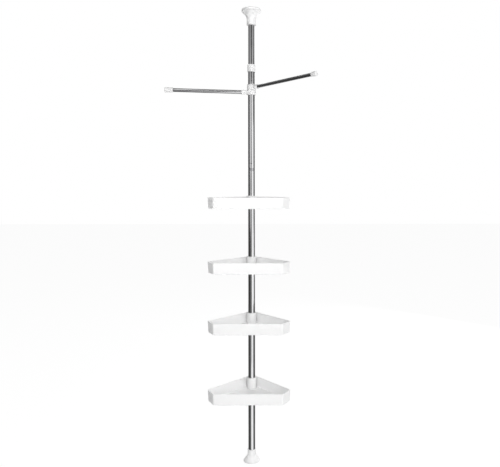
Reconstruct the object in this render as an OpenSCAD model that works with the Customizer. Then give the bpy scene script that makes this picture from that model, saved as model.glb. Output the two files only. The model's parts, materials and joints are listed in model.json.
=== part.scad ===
// Corner shower caddy on a sprung pole that wedges between a floor and a ceiling.
// +Z is up, the open side of the corner is -Y, and the origin is on the pole's axis where the floor pad rests.

/* [Pole] */
// Outside diameter of the pole tubes
tube_d = 25.4; // [22:0.2:30]
// Wall of the pole tubes
tube_wall = 0.5; // [0.4:0.1:0.8]
// Length of the lower tube
lower_tube_len = 531; // [480:1:600]
// Length of the middle tube
middle_tube_len = 550; // [480:1:620]
// Length of the upper tube
upper_tube_len = 379; // [340:1:460]
// Length of the inner tube
inner_tube_len = 408; // [380:1:440]
// Length of the inner tube that stands out above the lock
extension = 166; // [130:1:200]
// How far a joint spigot reaches into each tube
spigot_reach = 42; // [34:1:50]
// Height of the band that shows between two joined tubes
joint_band_h = 9; // [6:0.5:12]
// Wall of a joint spigot
spigot_wall = 1.5; // [1:0.1:2]
// Length of the guide bush inside the foot of the inner tube
bush_len = 22; // [14:1:30]

/* [Snap button] */
// Diameter of the button
button_d = 5; // [4:0.1:6]
// How far the button stands out of the tube
button_proud = 1.6; // [1:0.1:2.2]
// Height of the button above the joint band
button_rise = 18.5; // [14:0.5:24]
// Width of the leaf spring behind the button
leaf_w = 6; // [4:0.5:7]
// Thickness of the leaf spring
leaf_t = 0.5; // [0.4:0.1:0.8]
// Depth of the bend below the button
leaf_drop = 34; // [26:1:38]

/* [Lock] */
// Outside diameter of the lock collar
lock_d = 30; // [29:0.5:34]
// Height of the lock collar and the lip below it
lock_h = 28; // [26:0.5:32]
// Height of the fixed lip below the collar
lock_lip_h = 4.2; // [3:0.2:6]
// Length of the collet sleeve on the upper tube
collet_grip = 13.5; // [10:0.5:16]
// Wall of the collet sleeve
collet_wall = 1; // [0.8:0.1:1.2]
// Width of the slits between the collet's fingers
collet_slit = 1.2; // [0.8:0.1:1.6]
// Number of grip flutes round the collar
lock_flutes = 18; // [12:1:24]
// Depth of a grip flute
flute_depth = 0.4; // [0.3:0.1:0.6]

/* [Floor foot] */
// Diameter of the floor pad
floor_pad_d = 62.4; // [60:0.2:70]
// Height of the floor pad
floor_pad_h = 6.5; // [5:0.5:9]
// Diameter of the floor cup at its rim
floor_cup_d = 56; // [53:0.5:58]
// Diameter of the floor cup's neck
floor_neck_d = 31; // [30:0.5:34]
// Height of the floor cup
floor_cup_h = 37; // [33:0.5:44]
// Height of the floor cup's flare
floor_flare_h = 21; // [17:0.5:24]
// Thickness of the cup floor that the pole stands on
cup_floor_t = 3; // [2:0.5:4]
// Number of ribs inside the floor cup
cup_ribs = 8; // [6:1:12]

/* [Ceiling cup] */
// Diameter of the ceiling pad
ceiling_pad_d = 73; // [68:1:80]
// Height of the ceiling pad
ceiling_pad_h = 12.5; // [9:0.5:15]
// Diameter of the ceiling cup at its rim
ceiling_cup_d = 69; // [64:1:74]
// Diameter of the ceiling cup's neck
ceiling_neck_d = 34.4; // [33:0.2:38]
// Height of the ceiling cup
ceiling_cup_h = 48.5; // [44:0.5:56]
// Height of the ceiling cup's flare
ceiling_flare_h = 24; // [18:0.5:28]
// Thickness of the plate that the spring pushes on
ceiling_plate_t = 3; // [2:0.5:4]
// Height of the bush ring at the mouth of the neck
neck_bush_h = 16; // [12:0.5:20]
// Height of the lip on the bush ring
neck_lip_h = 4; // [3:0.5:5]

/* [Tension spring] */
// Wire of the tension spring
spring_wire = 2; // [1.6:0.1:2.4]
// Mean diameter of the tension spring
spring_d = 17.6; // [16:0.2:18]
// Number of turns in the tension spring
spring_turns = 8; // [6:1:10]
// Depth of the spring's pocket in the inner tube
pocket_depth = 31; // [24:1:40]

/* [Arm hub] */
// Gap between the hub and the lock collar above it
hub_drop = 47.5; // [46:0.5:90]
// Outside diameter of the arm rings
ring_d = 33; // [32:0.5:36]
// Height of the ring that carries the left arm
left_ring_h = 15.5; // [15:0.5:18]
// Height of the ring that carries the right arm
right_ring_h = 19; // [18.5:0.5:22]
// Wall of the sleeve that the rings turn on
hub_wall = 1.6; // [1.2:0.1:2]
// Thickness of the hub's flange and of its top ring
hub_flange_t = 2.2; // [1.8:0.1:3.5]
// Length of an arm socket from the pole's axis
socket_reach = 38; // [34:1:44]

/* [Left arm] */
// Reach of the left arm from the pole's axis
left_reach = 321; // [260:1:360]
// Angle of the left arm in front of the left side
left_angle = 10.4; // [0:0.2:30]
// Diameter of the left bar
left_bar_d = 14; // [12:0.2:15]
// Diameter of the left arm's socket
left_socket_d = 17.2; // [16.4:0.1:18]
// Diameter of the left end cap
left_cap_d = 18.4; // [17:0.1:20]
// Length of the left end cap
left_cap_len = 30; // [22:1:36]

/* [Right arm] */
// Reach of the right arm from the pole's axis
right_reach = 348; // [280:1:380]
// Angle of the right arm in front of the right side
right_angle = 47; // [20:0.5:70]
// Diameter of the right bar
right_bar_d = 12; // [10:0.2:13]
// Diameter of the right arm's socket
right_socket_d = 16.4; // [15:0.1:17.6]
// Diameter of the right end cap
right_cap_d = 16.5; // [14.5:0.1:18]
// Length of the right end cap
right_cap_len = 20; // [16:1:26]
// Wall of the arm bars
bar_wall = 0.8; // [0.6:0.1:1.2]

/* [Trays] */
// Width of a tray between its side corners, before they are rounded
tray_w = 300; // [270:2:330]
// Width of a tray's front between its corners, before they are rounded
front_w = 246; // [200:2:256]
// Distance from the pole's axis to the front of a tray
front_reach = 155; // [140:1:170]
// Distance from the pole's axis to a back wall
back_reach = 27; // [26:0.5:32]
// Height of a tray's wall
tray_h = 40; // [32:1:50]
// Thickness of a tray's wall
tray_wall = 2.6; // [2:0.1:3.2]
// Thickness of a tray's floor
tray_floor = 2.6; // [2:0.1:3.2]
// How much narrower a tray is at its foot, on each side
tray_draft = 2.4; // [1:0.2:4]
// Radius of a tray's front corners
front_corner_r = 9; // [8:0.5:18]
// Radius of a tray's side corners
side_corner_r = 9; // [8:0.5:14]
// Height of the bead round a tray's rim
bead_h = 3; // [2:0.5:5]
// How far the rim's bead stands in from the wall
bead_w = 1; // [0.6:0.1:1.4]
// Width of a drain slot
slot_w = 3.6; // [2.5:0.1:3.9]
// Distance from one drain slot to the next
slot_pitch = 17; // [12:1:24]
// Number of drain slots on each side of a tray
slot_count = 5; // [3:1:6]
// Depth of the top tray's underside below the upper tube joint
top_tray_drop = 138.5; // [135:0.5:180]
// Distance from the first tray down to the second
tray_gap_1 = 230; // [200:1:250]
// Distance from the second tray down to the third
tray_gap_2 = 213; // [200:1:250]
// Distance from the third tray down to the fourth
tray_gap_3 = 246; // [200:1:250]

/* [Tray clips] */
// Outside diameter of a tray's sleeve
sleeve_d = 36; // [35:0.5:40]
// Height of the sleeve above the tray's rim
sleeve_rise = 3.5; // [1:0.5:8]
// Wall of a clip at its narrow top
clip_top_wall = 1.4; // [1.2:0.1:1.8]
// Wall of a clip at its wide foot
clip_foot_wall = 3.2; // [2.6:0.1:3.4]
// Height of a clip's flange below the tray
clip_flange_h = 5; // [3:0.5:6]
// Diameter of a clip's flange
clip_flange_d = 35; // [33:0.5:38]
// Gap between the two halves of a clip
clip_split = 1.2; // [0.8:0.2:2]

/* [Hidden] */
$fn = 64;
// Radial gap of a running fit, and of a piece pressed or slipped on within one body
run_gap = 0.05;
// Radial gap between the inner tube and the upper tube
tube_gap = 0.2;
// Gap between faces that pass each other
face_gap = 0.3;
// Overlap that makes a cut or a join sure
cut = 1;

tube_r = tube_d / 2;
tube_ir = tube_r - tube_wall;
inner_r = tube_ir - tube_gap;
inner_ir = inner_r - tube_wall;
spigot_r = tube_ir - run_gap;
spigot_ir = spigot_r - spigot_wall;

// Heights up the pole
lower_tube_z = floor_pad_h + cup_floor_t;
lower_joint_z = lower_tube_z + lower_tube_len;
middle_tube_z = lower_joint_z + joint_band_h;
upper_joint_z = middle_tube_z + middle_tube_len;
upper_tube_z = upper_joint_z + joint_band_h;
button_z = upper_tube_z + button_rise;
upper_tube_top = upper_tube_z + upper_tube_len;
lock_z = upper_tube_top - collet_grip;
lock_top = lock_z + lock_h;
inner_top = lock_top + extension;
inner_z = inner_top - inner_tube_len;
neck_z = inner_top - neck_bush_h;
ceiling_pad_z = neck_z + ceiling_cup_h;

// Arm hub
hub_z = lock_z - hub_drop - hub_h();
left_ring_z = hub_z + hub_flange_t + face_gap;
right_ring_z = left_ring_z + left_ring_h + face_gap;
hub_cap_z = right_ring_z + right_ring_h + face_gap;
hub_sleeve_r = tube_r + run_gap + hub_wall;
function hub_h() = 2 * hub_flange_t + left_ring_h + right_ring_h + 3 * face_gap;

// Trays and clips
clip_r_top = tube_r + run_gap + clip_top_wall;
clip_r_foot = tube_r + run_gap + clip_foot_wall;
sleeve_top = tray_h + sleeve_rise;
tray_1_z = upper_joint_z - top_tray_drop;
tray_2_z = tray_1_z - tray_gap_1;
tray_3_z = tray_2_z - tray_gap_2;
tray_4_z = tray_3_z - tray_gap_3;

// ---------- shapes that repeat ----------

module tube(outer, inner, h) {
    difference() {
        cylinder(r = outer, h = h);
        translate([0, 0, -cut])
            cylinder(r = inner, h = h + 2 * cut);
    }
}

// Tube with its two ends eased by a small bevel outside
module eased_tube(outer, inner, h, ease) {
    rotate_extrude()
        polygon([[inner, 0], [outer - ease, 0], [outer, ease],
            [outer, h - ease], [outer - ease, h], [inner, h]]);
}

// Points of an arc, for a profile
function arc(centre, r, from, to, steps = 6) =
    [for (i = [0:steps]) let (a = from + (to - from) * i / steps) centre + r * [cos(a), sin(a)]];

function bezier(p, t) =
    pow(1 - t, 3) * p[0] + 3 * pow(1 - t, 2) * t * p[1] + 3 * (1 - t) * t * t * p[2] + pow(t, 3) * p[3];

// Trumpet curve from a rim to a neck, eased by one handle at each end
function flare(rim, rim_handle, neck_handle, neck, steps = 12) =
    [for (i = [0:steps]) bezier([rim, rim + rim_handle, neck + neck_handle, neck], i / steps)];

// ---------- floor foot ----------

module floor_pad() {
    r = floor_pad_d / 2;
    lean = 2.4;
    foot_edge = 0.8;
    top_edge = 1.6;
    groove_w = 2;
    groove_depth = 1.2;
    ring_h = 2.2;
    color("whitesmoke") {
        difference() {
            rotate_extrude()
                polygon(concat([[0, 0]], arc([r - foot_edge, foot_edge], foot_edge, -90, 0),
                    arc([r - lean - top_edge, floor_pad_h - top_edge], top_edge, 0, 90),
                    [[0, floor_pad_h]]));
            for (groove = [12:6:r - 7])
                translate([0, 0, -cut])
                    tube(groove + groove_w, groove, groove_depth + cut);
        }
        translate([0, 0, floor_pad_h - cut])
            tube(floor_cup_d / 2 - 5, floor_cup_d / 2 - 7, ring_h + cut);
    }
}

module floor_cup() {
    rim_r = floor_cup_d / 2;
    neck_r = floor_neck_d / 2;
    skin = 2.4;
    rib_t = 1.6;
    rib_foot = 3;
    socket_r = tube_r + run_gap;
    lip = 1.4;
    curve = flare([rim_r, 0], [-2.8, 3], [0, -9.5], [neck_r, floor_flare_h]);
    inside = [for (p = curve) if (p[0] > neck_r + skin + 2) [p[0] - skin, p[1]]];
    inside_top = inside[len(inside) - 1][1];
    color("white")
        translate([0, 0, floor_pad_h])
            difference() {
                rotate_extrude()
                    polygon(concat([[0, 0]], curve, arc([neck_r - lip, floor_cup_h - lip], lip, 0, 90),
                        [[0, floor_cup_h]]));
                translate([0, 0, cup_floor_t])
                    cylinder(r = socket_r, h = floor_cup_h);
                difference() {
                    rotate_extrude()
                        polygon(concat([[neck_r, -cut], [rim_r - skin, -cut]], inside, [[neck_r, inside_top]]));
                    for (i = [0:cup_ribs - 1])
                        rotate(i * 360 / cup_ribs)
                            translate([0, -rib_t / 2, rib_foot])
                                cube([rim_r, rib_t, floor_cup_h]);
                }
            }
}

// ---------- pole ----------

module lower_tube() {
    color("silver")
        translate([0, 0, lower_tube_z])
            tube(tube_r, tube_ir, lower_tube_len);
}

module middle_tube() {
    color("silver")
        translate([0, 0, middle_tube_z])
            tube(tube_r, tube_ir, middle_tube_len);
}

module upper_tube() {
    color("silver")
        translate([0, 0, upper_tube_z])
            difference() {
                tube(tube_r, tube_ir, upper_tube_len);
                translate([0, 0, button_rise])
                    button_hole();
            }
}

// Hole through a front wall for the snap button
module button_hole() {
    rotate([90, 0, 0])
        cylinder(d = button_d + 4 * run_gap, h = tube_r + cut);
}

// Sleeve that joins two tubes, with the band that shows between them
module joint_spigot() {
    band_step = 0.15;
    groove = 0.6;
    difference() {
        union() {
            translate([0, 0, -spigot_reach])
                cylinder(r = spigot_r, h = 2 * spigot_reach + joint_band_h);
            eased_tube(tube_r - band_step, 0, joint_band_h, groove);
        }
        translate([0, 0, -spigot_reach - cut])
            cylinder(r = spigot_ir, h = 2 * spigot_reach + joint_band_h + 2 * cut);
    }
}

module lower_joint_spigot() {
    color("gainsboro")
        translate([0, 0, lower_joint_z])
            joint_spigot();
}

module upper_joint_spigot() {
    color("gainsboro")
        translate([0, 0, upper_joint_z])
            difference() {
                joint_spigot();
                translate([0, 0, joint_band_h + button_rise])
                    button_hole();
            }
}

// ---------- snap button ----------

// Depth of the button's head behind the spigot's wall
head_r = button_d / 2 + 1.2;
head_front = sqrt(pow(spigot_ir, 2) - pow(head_r, 2)) - face_gap / 2;
head_t = 1;

module snap_button() {
    dome = 1;
    tip = tube_r + button_proud;
    color("black")
        translate([0, 0, button_z])
            rotate([90, 0, 0])
                rotate_extrude()
                    polygon(concat([[0, head_front - head_t], [head_r, head_front - head_t],
                        [head_r, head_front], [button_d / 2, head_front]],
                        arc([button_d / 2 - dome, tip - dome], dome, 0, 90), [[0, tip]]));
}

// Leaf bent into a hairpin: one leg pushes the button's head, the other leans on the spigot's rear wall
module button_spring() {
    bend_r = 3;
    leg_h = leaf_drop + 4;
    front_y = head_front - head_t - 0.02;
    rear_y = sqrt(pow(spigot_ir, 2) - pow(leaf_w / 2, 2)) - 0.1;
    color("dimgray")
        translate([leaf_w / 2, 0, button_z - leaf_drop])
            rotate([90, 0, -90])
                linear_extrude(leaf_w)
                    polygon(concat(arc([0, 0], bend_r, -180, 0, 10),
                        [[front_y, leaf_drop - head_r], [front_y, leg_h],
                        [front_y - leaf_t, leg_h], [front_y - leaf_t, leaf_drop - head_r]],
                        arc([0, 0], bend_r - leaf_t, 0, -180, 10),
                        [[leaf_t - rear_y, leg_h], [-rear_y, leg_h]]));
}

// ---------- telescope lock ----------

finger_h = lock_h - collet_grip - 4;
collet_r = tube_r + run_gap + collet_wall;
nut_bore = collet_r + run_gap;
nut_seat_r = collet_r - 0.7;

module lock_collet() {
    bore = inner_r + run_gap;
    finger_z = collet_grip + 2;
    color("white")
        translate([0, 0, lock_z])
            difference() {
                union() {
                    cylinder(r = lock_d / 2, h = lock_lip_h - face_gap);
                    cylinder(r = collet_r, h = finger_z);
                    translate([0, 0, finger_z])
                        cylinder(r1 = collet_r - run_gap, r2 = nut_seat_r - run_gap, h = finger_h);
                }
                translate([0, 0, -cut])
                    cylinder(r = tube_r + run_gap / 2, h = collet_grip + cut);
                cylinder(r = bore, h = lock_h);
                for (i = [0, 1])
                    rotate(45 + 90 * i)
                        translate([-lock_d / 2, -collet_slit / 2, finger_z])
                            cube([lock_d, collet_slit, lock_h]);
            }
}

module lock_collar() {
    r = lock_d / 2;
    edge = 1;
    base_z = lock_lip_h;
    finger_z = collet_grip + 2;
    mouth_r = inner_r + face_gap;
    color("white")
        translate([0, 0, lock_z])
            difference() {
                rotate_extrude()
                    polygon(concat([[nut_bore, base_z], [r - edge / 2, base_z], [r, base_z + edge / 2]],
                        arc([r - edge, lock_h - edge], edge, 0, 90),
                        [[mouth_r, lock_h], [mouth_r, finger_z + finger_h + face_gap],
                        [nut_seat_r, finger_z + finger_h + face_gap], [nut_seat_r, finger_z + finger_h],
                        [collet_r, finger_z], [nut_bore, finger_z]]));
                for (i = [0:lock_flutes - 1])
                    rotate(i * 360 / lock_flutes)
                        translate([r + flute_depth, 0, base_z + 3])
                            cylinder(r = 2 * flute_depth, h = lock_h - lock_lip_h - 6, $fn = 24);
            }
}

// ---------- inner tube and its spring ----------

module inner_tube() {
    color("silver")
        translate([0, 0, inner_z])
            tube(inner_r, inner_ir, inner_tube_len);
}

// Bush that guides the foot of the inner tube inside the upper tube
module inner_tube_bush() {
    flange_h = 8;
    color("white")
        translate([0, 0, inner_z])
            difference() {
                union() {
                    translate([0, 0, -flange_h])
                        cylinder(r = tube_ir - run_gap, h = flange_h);
                    cylinder(r = inner_ir - run_gap, h = bush_len);
                }
                translate([0, 0, -flange_h - cut])
                    cylinder(r = inner_ir - 2, h = flange_h + bush_len + 2 * cut);
            }
}

seat_flange_t = 3;
neck_bore_r = ceiling_neck_d / 2 - 2.8;
spring_z = inner_top + seat_flange_t - pocket_depth;
spring_top = ceiling_pad_z - ceiling_plate_t;

// Thimble in the top of the inner tube: its pocket holds the spring and its flange stops the cup
module spring_seat() {
    pocket_r = spring_d / 2 + spring_wire / 2 + 0.3;
    floor_t = 2;
    color("white")
        translate([0, 0, inner_top])
            difference() {
                union() {
                    cylinder(r = neck_bore_r - face_gap, h = seat_flange_t);
                    translate([0, 0, seat_flange_t - pocket_depth - floor_t])
                        cylinder(r = inner_ir - run_gap, h = pocket_depth + floor_t);
                }
                translate([0, 0, seat_flange_t - pocket_depth])
                    cylinder(r = pocket_r, h = pocket_depth + cut);
            }
}

// Round wire wound along a helix, with the end turns closed up
module tension_spring() {
    sides = 8;
    steps = 16;
    rings = spring_turns * steps;
    h = spring_top - spring_z - spring_wire;
    function pitch(t) = t < 0.5 ? 2 * t * t : 1 - 2 * (1 - t) * (1 - t);
    function rise(i) = h * (0.35 * i / rings + 0.65 * pitch(i / rings)) + spring_wire / 2;
    points = [for (i = [0:rings], k = [0:sides - 1])
        let (a = 360 * i / steps, b = 360 * k / sides, r = spring_d / 2 + spring_wire / 2 * cos(b))
            [r * cos(a), r * sin(a), rise(i) + spring_wire / 2 * sin(b)]];
    skin = [for (i = [0:rings - 1], k = [0:sides - 1])
        let (n = (k + 1) % sides, p = i * sides) [p + k, p + sides + k, p + sides + n, p + n]];
    ends = [[for (k = [0:sides - 1]) k], [for (k = [0:sides - 1]) rings * sides + sides - 1 - k]];
    color("dimgray")
        translate([0, 0, spring_z])
            polyhedron(points, concat(skin, ends));
}

// ---------- ceiling cup ----------

// Ring pressed into the neck: it guides the inner tube and stops the spring seat's flange
module neck_bush() {
    lip_r = ceiling_neck_d / 2 + 0.3;
    edge = 0.8;
    bore = inner_r + run_gap;
    body_r = neck_bore_r - run_gap;
    color("white")
        translate([0, 0, neck_z])
            rotate_extrude()
                polygon(concat([[bore, 0]], arc([lip_r - edge, edge], edge, -90, 0),
                    arc([lip_r - edge, neck_lip_h - edge], edge, 0, 90),
                    [[body_r, neck_lip_h], [body_r, neck_bush_h], [bore, neck_bush_h]]));
}

module ceiling_cup() {
    rim_r = ceiling_cup_d / 2;
    neck_r = ceiling_neck_d / 2;
    stem_r = spring_d / 2 - spring_wire / 2 - 0.5;
    stem_h = 20;
    curve = flare([rim_r, 0], [-5.5, -3], [1.5, 10], [neck_r, -ceiling_flare_h]);
    color("white")
        translate([0, 0, ceiling_pad_z]) {
            difference() {
                rotate_extrude()
                    polygon(concat([[0, 0]], curve, [[neck_r, neck_lip_h - ceiling_cup_h],
                        [0, neck_lip_h - ceiling_cup_h]]));
                translate([0, 0, -ceiling_cup_h])
                    cylinder(r = neck_bore_r, h = ceiling_cup_h - ceiling_plate_t);
            }
            translate([0, 0, -ceiling_plate_t - stem_h])
                cylinder(r = stem_r, h = stem_h + cut);
        }
}

module ceiling_pad() {
    r = ceiling_pad_d / 2;
    low = 4;
    high = 4.5;
    groove_w = 2;
    groove_depth = 1.2;
    color("whitesmoke")
        translate([0, 0, ceiling_pad_z])
            difference() {
                rotate_extrude()
                    polygon(concat([[0, 0]], arc([r - low, low], low, -90, 0),
                        arc([r - high, ceiling_pad_h - high], high, 0, 90), [[0, ceiling_pad_h]]));
                for (groove = [12:6:r - 7])
                    translate([0, 0, ceiling_pad_h - groove_depth])
                        tube(groove + groove_w, groove, groove_depth + cut);
            }
}

// ---------- arm hub ----------

// Split sleeve that grips the pole, with a flange that the rings stand on
module hub_sleeve() {
    slit = 2;
    h = hub_h();
    flange_r = ring_d / 2 - 0.5;
    color("white")
        translate([0, 0, hub_z])
            difference() {
                union() {
                    cylinder(r = hub_sleeve_r, h = h);
                    cylinder(r = flange_r, h = hub_flange_t);
                }
                translate([0, 0, -cut])
                    cylinder(r = tube_r + run_gap, h = h + 2 * cut);
                translate([-slit / 2, 0, -cut])
                    cube([slit, ring_d, h + 2 * cut]);
            }
}

module hub_cap() {
    color("white")
        translate([0, 0, hub_cap_z])
            eased_tube(ring_d / 2 - 0.5, hub_sleeve_r + run_gap / 2, hub_flange_t, 0.6);
}

// Ring that turns on the hub, with the socket of its bar pointing along +X
module arm_socket(ring_h, socket_d, bar_d) {
    ring_r = ring_d / 2;
    stub = 17;
    neck_d = min(socket_d, ring_h) - 1;
    difference() {
        union() {
            eased_tube(ring_r, 0, ring_h, 0.8);
            translate([ring_r - 2.5, 0, ring_h / 2])
                rotate([0, 90, 0])
                    cylinder(d = neck_d, h = 4);
            translate([ring_r + 0.5, 0, ring_h / 2])
                rotate([0, 90, 0])
                    cylinder(d1 = neck_d, d2 = socket_d, h = 2);
            translate([ring_r + 2.5, 0, ring_h / 2])
                rotate([0, 90, 0])
                    cylinder(d = socket_d, h = socket_reach - ring_r - 2.5);
        }
        translate([0, 0, -cut])
            cylinder(r = hub_sleeve_r + run_gap, h = ring_h + 2 * cut);
        translate([socket_reach - stub, 0, ring_h / 2])
            rotate([0, 90, 0])
                cylinder(d = bar_d + 2 * run_gap, h = stub + cut);
    }
}

// Bar of an arm, from the bottom of its socket to the bottom of its cap
module arm_bar(bar_d, reach) {
    stub = 16.9;
    cap_floor = 3.1;
    translate([socket_reach - stub, 0, 0])
        rotate([0, 90, 0])
            tube(bar_d / 2, bar_d / 2 - bar_wall, reach - cap_floor - socket_reach + stub);
}

module arm_cap(cap_d, cap_len, bar_d, reach) {
    edge = 1.5;
    floor_t = 3;
    translate([reach - cap_len, 0, 0])
        rotate([0, 90, 0])
            rotate_extrude()
                polygon(concat([[bar_d / 2 + run_gap, 0], [cap_d / 2 - edge / 2, 0], [cap_d / 2, edge / 2]],
                    arc([cap_d / 2 - edge, cap_len - edge], edge, 0, 90),
                    [[0, cap_len], [0, cap_len - floor_t], [bar_d / 2 + run_gap, cap_len - floor_t]]));
}

// Stands a piece drawn along +X at the left arm's place
module on_left_arm(z) {
    translate([0, 0, z])
        rotate(180 + left_angle)
            children();
}

module on_right_arm(z) {
    translate([0, 0, z])
        rotate(-right_angle)
            children();
}

module left_arm_socket() {
    color("white")
        on_left_arm(left_ring_z)
            arm_socket(left_ring_h, left_socket_d, left_bar_d);
}

module left_bar() {
    color("silver")
        on_left_arm(left_ring_z + left_ring_h / 2)
            arm_bar(left_bar_d, left_reach);
}

module left_bar_cap() {
    color("white")
        on_left_arm(left_ring_z + left_ring_h / 2)
            arm_cap(left_cap_d, left_cap_len, left_bar_d, left_reach);
}

module right_arm_socket() {
    color("white")
        on_right_arm(right_ring_z)
            arm_socket(right_ring_h, right_socket_d, right_bar_d);
}

module right_bar() {
    color("silver")
        on_right_arm(right_ring_z + right_ring_h / 2)
            arm_bar(right_bar_d, right_reach);
}

module right_bar_cap() {
    color("white")
        on_right_arm(right_ring_z + right_ring_h / 2)
            arm_cap(right_cap_d, right_cap_len, right_bar_d, right_reach);
}

// ---------- trays ----------

// Corners of a tray's outline at its rim before they are rounded, and the radius that rounds each
apex_y = back_reach * sqrt(2);
corners = [
    [-front_w / 2, -front_reach], [front_w / 2, -front_reach],
    [tray_w / 2, apex_y - tray_w / 2], [0, apex_y], [-tray_w / 2, apex_y - tray_w / 2]
];
radii = [front_corner_r, front_corner_r, side_corner_r, back_reach, side_corner_r];

function unit(v) = v / norm(v);
// Centre of the round that touches both sides of a corner
function round_centre(i) =
    let (count = len(corners),
        p = corners[i],
        to_next = unit(corners[(i + 1) % count] - p),
        to_last = unit(corners[(i + count - 1) % count] - p),
        half_angle = acos(to_next * to_last) / 2)
    p + unit(to_next + to_last) * radii[i] / sin(half_angle);

// Solid of the tray's outline with leaning walls: taken in by foot at the bottom and by rim at the top
module leaning_block(foot, rim, h) {
    hull()
        for (i = [0:len(corners) - 1])
            translate(round_centre(i))
                cylinder(r1 = radii[i] - foot, r2 = radii[i] - rim, h = h, $fn = 72);
}

// How far the wall's inner face stands in from the outline at a height
function inset(z) = tray_wall + tray_draft * (1 - z / tray_h);

module drain_slot(length) {
    translate([-length / 2, 0, 0])
        cylinder(d = slot_w, h = tray_floor + 2 * cut);
    translate([length / 2, 0, 0])
        cylinder(d = slot_w, h = tray_floor + 2 * cut);
    translate([-length / 2, -slot_w / 2, 0])
        cube([length, slot_w, tray_floor + 2 * cut]);
}

module drain_slots() {
    first_y = -front_reach + 34;
    for (i = [0:slot_count - 1], side = [-1, 1]) {
        y = first_y + i * slot_pitch;
        inner_x = 20;
        outer_x = min(front_w / 2 - 18, apex_y - y - 44);
        translate([side * (inner_x + outer_x) / 2, y, -cut])
            drain_slot(outer_x - inner_x);
    }
}

// Space inside a tray, narrowed at the rim by the bead
module tray_space() {
    bead_z = tray_h - bead_h;
    translate([0, 0, tray_floor])
        leaning_block(inset(tray_floor), inset(bead_z), bead_z - tray_floor);
    translate([0, 0, bead_z])
        leaning_block(tray_wall + bead_w, tray_wall + bead_w, bead_h + cut);
}

module tray() {
    web_t = 2.4;
    web_top = tray_h - 6;
    color("white")
        difference() {
            union() {
                difference() {
                    leaning_block(tray_draft, 0, tray_h);
                    tray_space();
                }
                cylinder(d = sleeve_d, h = sleeve_top);
                translate([-web_t / 2, 0, tray_floor - cut])
                    cube([web_t, back_reach - tray_wall, web_top - tray_floor + cut]);
            }
            clip_taper(run_gap, cut);
            drain_slots();
        }
}

// ---------- tray clips ----------

// Cone between a clip and its tray's sleeve, made wider by grow and carried on past both ends
module clip_taper(grow, past = 0) {
    slope = (clip_r_foot - clip_r_top) / sleeve_top;
    translate([0, 0, -past])
        cylinder(r1 = clip_r_foot + grow + slope * past, r2 = clip_r_top + grow - slope * past,
            h = sleeve_top + 2 * past);
}

// Half of a tapered clip: it grips the pole, and the tray's sleeve wedges down over it
module clip_half() {
    flange_top = -face_gap;
    difference() {
        union() {
            clip_taper(0);
            translate([0, 0, -face_gap - cut])
                cylinder(r = clip_r_foot, h = face_gap + cut);
            translate([0, 0, flange_top - clip_flange_h])
                cylinder(d = clip_flange_d, h = clip_flange_h);
        }
        translate([0, 0, -clip_flange_h - cut - face_gap])
            cylinder(r = tube_r + run_gap, h = sleeve_top + clip_flange_h + 3 * cut);
        translate([-clip_flange_d, -clip_split / 2, -clip_flange_h - cut - face_gap])
            cube([2 * clip_flange_d, clip_flange_d + clip_split, sleeve_top + clip_flange_h + 3 * cut]);
    }
}

module clip_front(z) {
    color("gainsboro")
        translate([0, 0, z])
            clip_half();
}

module clip_rear(z) {
    color("gainsboro")
        translate([0, 0, z])
            rotate(180)
                clip_half();
}

floor_pad();
floor_cup();
lower_tube();
lower_joint_spigot();
middle_tube();
upper_joint_spigot();
upper_tube();
snap_button();
button_spring();
lock_collet();
lock_collar();
inner_tube();
inner_tube_bush();
spring_seat();
tension_spring();
neck_bush();
ceiling_cup();
ceiling_pad();
hub_sleeve();
hub_cap();
left_arm_socket();
left_bar();
left_bar_cap();
right_arm_socket();
right_bar();
right_bar_cap();
translate([0, 0, tray_1_z]) tray();  // tray_1
translate([0, 0, tray_2_z]) tray();  // tray_2
translate([0, 0, tray_3_z]) tray();  // tray_3
translate([0, 0, tray_4_z]) tray();  // tray_4
clip_front(tray_1_z);  // clip_front_1
clip_front(tray_2_z);  // clip_front_2
clip_front(tray_3_z);  // clip_front_3
clip_front(tray_4_z);  // clip_front_4
clip_rear(tray_1_z);  // clip_rear_1
clip_rear(tray_2_z);  // clip_rear_2
clip_rear(tray_3_z);  // clip_rear_3
clip_rear(tray_4_z);  // clip_rear_4
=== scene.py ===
"""Looks of the corner shower caddy: moulded white trays and fittings on a polished steel pole.

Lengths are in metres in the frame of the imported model: +Z up the pole, -Y out of the corner.
"""

import json
import math

import bmesh
import bpy
from mathutils import Matrix, Vector
from mathutils.geometry import delaunay_2d_cdt

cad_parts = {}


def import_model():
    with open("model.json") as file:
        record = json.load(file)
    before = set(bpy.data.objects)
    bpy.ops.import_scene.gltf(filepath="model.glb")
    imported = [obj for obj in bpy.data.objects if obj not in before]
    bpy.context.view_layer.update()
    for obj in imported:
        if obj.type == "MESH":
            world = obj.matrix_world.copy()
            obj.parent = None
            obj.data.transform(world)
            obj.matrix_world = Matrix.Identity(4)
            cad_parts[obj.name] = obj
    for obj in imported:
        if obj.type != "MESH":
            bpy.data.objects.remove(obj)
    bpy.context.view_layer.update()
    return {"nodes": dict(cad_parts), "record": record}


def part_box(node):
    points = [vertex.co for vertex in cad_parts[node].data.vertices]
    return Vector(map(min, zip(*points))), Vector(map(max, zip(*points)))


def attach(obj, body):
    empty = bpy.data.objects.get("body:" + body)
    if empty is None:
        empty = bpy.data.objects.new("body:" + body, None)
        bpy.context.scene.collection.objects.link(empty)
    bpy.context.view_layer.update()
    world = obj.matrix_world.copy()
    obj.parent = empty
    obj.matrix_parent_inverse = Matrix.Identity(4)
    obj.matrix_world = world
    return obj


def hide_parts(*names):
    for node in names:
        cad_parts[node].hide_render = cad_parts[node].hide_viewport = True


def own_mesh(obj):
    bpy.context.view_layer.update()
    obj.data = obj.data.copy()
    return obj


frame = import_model()

MM = 0.001

# Points nearer to each other than TOUCH are one, and a cut or bevel leaves no edge shorter than SLIVER
TOUCH = 0.001 * MM
SLIVER = 0.002 * MM

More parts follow.
